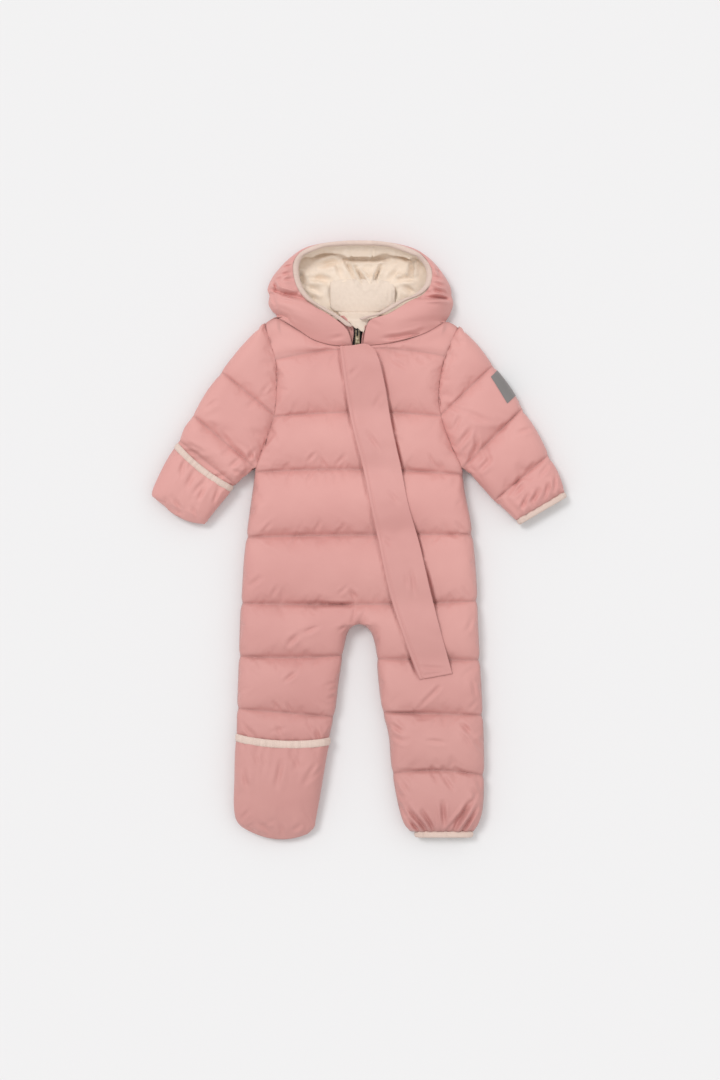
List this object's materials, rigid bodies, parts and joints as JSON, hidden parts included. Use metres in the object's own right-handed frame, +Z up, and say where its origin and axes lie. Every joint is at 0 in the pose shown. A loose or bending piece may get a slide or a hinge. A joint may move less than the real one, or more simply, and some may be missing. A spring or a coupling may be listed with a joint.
{
  "type": "baby snowsuit",
  "caption": "Hooded quilted baby snowsuit laid flat on its back, with a slanting zip placket, a fold-over mitten and foot cover, a fleece-lined hood and elastic bindings.",
  "frame": {"origin": "middle of the suit's length and width, on the surface it lies on", "axes": "+X towards the wearer's left sleeve, +Y towards the hood, +Z up off the surface"},
  "size_m": [0.56, 0.8112, 0.04],
  "materials": {
    "padded_shell": "satin woven polyester",
    "binding": "matte elastic binding",
    "fleece": "brushed fleece",
    "reflective": "fine glass-bead sheen",
    "zip_metal": "satin black",
    "pull_metal": "antique satin"
  },
  "bodies": {
    "suit": {"front": "padded_shell", "back": "padded_shell", "sleeve_right": "padded_shell", "sleeve_left": "padded_shell", "sleeve_patch": "reflective", "mitten_cover": "padded_shell", "mitten_binding": "binding", "cuff_binding_left": "binding", "foot_cover": "padded_shell", "foot_binding": "binding", "ankle_binding_left": "binding", "hood_side_right": "padded_shell", "hood_centre": "padded_shell", "hood_side_left": "padded_shell", "hood_lining_right": "fleece", "hood_lining_centre": "fleece", "hood_lining_left": "fleece", "neck_facing": "fleece", "hood_binding": "binding", "zip_guard": "fleece", "zip_tape": "zip_metal", "zip_slider": "zip_metal", "placket": "padded_shell"},
    "pull": {"zip_pull": "pull_metal"}
  },
  "joints": [
    {"name": "pull_swing", "type": "hinge", "parent": "suit", "child": "pull", "pos_m": [-0.003, 0.28315, 0.0286], "axis": [-1, 0, 0], "range_deg": [0, 115]}
  ]
}
